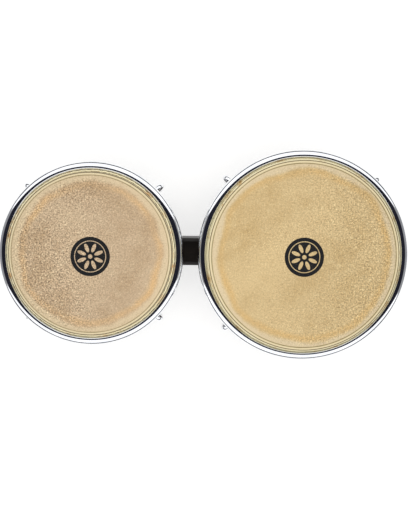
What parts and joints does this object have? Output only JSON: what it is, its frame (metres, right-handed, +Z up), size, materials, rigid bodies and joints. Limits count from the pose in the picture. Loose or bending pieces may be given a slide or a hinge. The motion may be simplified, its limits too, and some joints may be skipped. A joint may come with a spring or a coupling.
{
  "type": "bongo drums",
  "caption": "Pair of wooden hand drums, small and large, joined by a centre block, with rawhide heads held by chrome rims and hooked tension rods.",
  "frame": {"origin": "on the floor, under the centre of the pair's bounding box", "axes": "+X from the small drum (macho) to the large drum (hembra), +Y across the centre block, +Z up towards the heads"},
  "size_m": [0.4478, 0.2308, 0.1663],
  "materials": {
    "shell_wood": "dark espresso stain under satin lacquer",
    "block_wood": "near-black stain under satin lacquer",
    "rawhide": "dry untanned hide, smooth on the playing face",
    "chrome": "polished chrome plate",
    "steel": "zinc plated",
    "brass": "machined"
  },
  "bodies": {
    "drums": {"centre_block": "block_wood", "macho_shell": "shell_wood", "macho_skin": "rawhide", "macho_skin_collar": "rawhide", "macho_rod_washers": "steel", "macho_bottom_ring": "chrome", "macho_bottom_ring_ears": "chrome", "macho_backing_plate": "steel", "macho_block_bolts": "steel", "macho_block_bolt_washers": "steel", "macho_block_inserts": "brass", "hembra_shell": "shell_wood", "hembra_skin": "rawhide", "hembra_skin_collar": "rawhide", "hembra_rod_washers": "steel", "hembra_bottom_ring": "chrome", "hembra_bottom_ring_ears": "chrome", "hembra_backing_plate": "steel", "hembra_block_bolts": "steel", "hembra_block_bolt_washers": "steel", "hembra_block_inserts": "brass"},
    "macho_rim_assembly": {"macho_skin_tuck": "rawhide", "macho_flesh_hoop": "steel", "macho_rim": "chrome", "macho_rim_ears": "chrome"},
    "macho_rod_1": {"macho_rod_1": "chrome"},
    "macho_nut_1": {"macho_nut_1": "chrome"},
    "macho_rod_2": {"macho_rod_2": "chrome"},
    "macho_nut_2": {"macho_nut_2": "chrome"},
    "macho_rod_3": {"macho_rod_3": "chrome"},
    "macho_nut_3": {"macho_nut_3": "chrome"},
    "macho_rod_4": {"macho_rod_4": "chrome"},
    "macho_nut_4": {"macho_nut_4": "chrome"},
    "hembra_rim_assembly": {"hembra_skin_tuck": "rawhide", "hembra_flesh_hoop": "steel", "hembra_rim": "chrome", "hembra_rim_ears": "chrome"},
    "hembra_rod_1": {"hembra_rod_1": "chrome"},
    "hembra_nut_1": {"hembra_nut_1": "chrome"},
    "hembra_rod_2": {"hembra_rod_2": "chrome"},
    "hembra_nut_2": {"hembra_nut_2": "chrome"},
    "hembra_rod_3": {"hembra_rod_3": "chrome"},
    "hembra_nut_3": {"hembra_nut_3": "chrome"},
    "hembra_rod_4": {"hembra_rod_4": "chrome"},
    "hembra_nut_4": {"hembra_nut_4": "chrome"}
  },
  "joints": [
    {"name": "macho_nut_1_turn", "type": "hinge", "parent": "drums", "child": "macho_nut_1", "pos_m": [-0.06134, 0.06181, 0.019], "axis": [0.1115, 0.1115, 0.9875], "range_deg": [-864.57, 720.57]},
    {"name": "macho_rod_1_pull", "type": "slide", "parent": "drums", "child": "macho_rod_1", "axis": [-0.1115, -0.1115, -0.9875], "range_m": [-0.003, 0.0025]},
    {"name": "macho_nut_2_turn", "type": "hinge", "parent": "drums", "child": "macho_nut_2", "pos_m": [-0.18496, 0.06181, 0.019], "axis": [-0.1115, 0.1115, 0.9875], "range_deg": [-864.57, 720.57]},
    {"name": "macho_rod_2_pull", "type": "slide", "parent": "drums", "child": "macho_rod_2", "axis": [0.1115, -0.1115, -0.9875], "range_m": [-0.003, 0.0025]},
    {"name": "macho_nut_3_turn", "type": "hinge", "parent": "drums", "child": "macho_nut_3", "pos_m": [-0.18496, -0.06181, 0.019], "axis": [-0.1115, -0.1115, 0.9875], "range_deg": [-864.57, 720.57]},
    {"name": "macho_rod_3_pull", "type": "slide", "parent": "drums", "child": "macho_rod_3", "axis": [0.1115, 0.1115, -0.9875], "range_m": [-0.003, 0.0025]},
    {"name": "macho_nut_4_turn", "type": "hinge", "parent": "drums", "child": "macho_nut_4", "pos_m": [-0.06134, -0.06181, 0.019], "axis": [0.1115, -0.1115, 0.9875], "range_deg": [-864.57, 720.57]},
    {"name": "macho_rod_4_pull", "type": "slide", "parent": "drums", "child": "macho_rod_4", "axis": [-0.1115, 0.1115, -0.9875], "range_m": [-0.003, 0.0025]},
    {"name": "macho_rim_pull", "type": "slide", "parent": "drums", "child": "macho_rim_assembly", "axis": [0, 0, -1], "range_m": [-0.00296, 0.00247], "deforming": ["macho_skin_collar"]},
    {"name": "hembra_nut_1_turn", "type": "hinge", "parent": "drums", "child": "hembra_nut_1", "pos_m": [0.18157, 0.07302, 0.019], "axis": [0.1037, 0.1037, 0.9892], "range_deg": [-864.57, 720.57]},
    {"name": "hembra_rod_1_pull", "type": "slide", "parent": "drums", "child": "hembra_rod_1", "axis": [-0.1037, -0.1037, -0.9892], "range_m": [-0.003, 0.0025]},
    {"name": "hembra_nut_2_turn", "type": "hinge", "parent": "drums", "child": "hembra_nut_2", "pos_m": [0.03553, 0.07302, 0.019], "axis": [-0.1037, 0.1037, 0.9892], "range_deg": [-864.57, 720.57]},
    {"name": "hembra_rod_2_pull", "type": "slide", "parent": "drums", "child": "hembra_rod_2", "axis": [0.1037, -0.1037, -0.9892], "range_m": [-0.003, 0.0025]},
    {"name": "hembra_nut_3_turn", "type": "hinge", "parent": "drums", "child": "hembra_nut_3", "pos_m": [0.03553, -0.07302, 0.019], "axis": [-0.1037, -0.1037, 0.9892], "range_deg": [-864.57, 720.57]},
    {"name": "hembra_rod_3_pull", "type": "slide", "parent": "drums", "child": "hembra_rod_3", "axis": [0.1037, 0.1037, -0.9892], "range_m": [-0.003, 0.0025]},
    {"name": "hembra_nut_4_turn", "type": "hinge", "parent": "drums", "child": "hembra_nut_4", "pos_m": [0.18157, -0.07302, 0.019], "axis": [0.1037, -0.1037, 0.9892], "range_deg": [-864.57, 720.57]},
    {"name": "hembra_rod_4_pull", "type": "slide", "parent": "drums", "child": "hembra_rod_4", "axis": [-0.1037, 0.1037, -0.9892], "range_m": [-0.003, 0.0025]},
    {"name": "hembra_rim_pull", "type": "slide", "parent": "drums", "child": "hembra_rim_assembly", "axis": [0, 0, -1], "range_m": [-0.00297, 0.00247], "deforming": ["hembra_skin_collar"]}
  ],
  "couplings": [
    {"joint": "macho_nut_1_turn", "follows": "macho_rim_pull", "rad_per_m": 5090.2},
    {"joint": "macho_rod_1_pull", "follows": "macho_rim_pull", "ratio": 1.0127},
    {"joint": "macho_nut_2_turn", "follows": "macho_rim_pull", "rad_per_m": 5090.2},
    {"joint": "macho_rod_2_pull", "follows": "macho_rim_pull", "ratio": 1.0127},
    {"joint": "macho_nut_3_turn", "follows": "macho_rim_pull", "rad_per_m": 5090.2},
    {"joint": "macho_rod_3_pull", "follows": "macho_rim_pull", "ratio": 1.0127},
    {"joint": "macho_nut_4_turn", "follows": "macho_rim_pull", "rad_per_m": 5090.2},
    {"joint": "macho_rod_4_pull", "follows": "macho_rim_pull", "ratio": 1.0127},
    {"joint": "hembra_nut_1_turn", "follows": "hembra_rim_pull", "rad_per_m": 5081.5},
    {"joint": "hembra_rod_1_pull", "follows": "hembra_rim_pull", "ratio": 1.0109},
    {"joint": "hembra_nut_2_turn", "follows": "hembra_rim_pull", "rad_per_m": 5081.5},
    {"joint": "hembra_rod_2_pull", "follows": "hembra_rim_pull", "ratio": 1.0109},
    {"joint": "hembra_nut_3_turn", "follows": "hembra_rim_pull", "rad_per_m": 5081.5},
    {"joint": "hembra_rod_3_pull", "follows": "hembra_rim_pull", "ratio": 1.0109},
    {"joint": "hembra_nut_4_turn", "follows": "hembra_rim_pull", "rad_per_m": 5081.5},
    {"joint": "hembra_rod_4_pull", "follows": "hembra_rim_pull", "ratio": 1.0109}
  ]
}
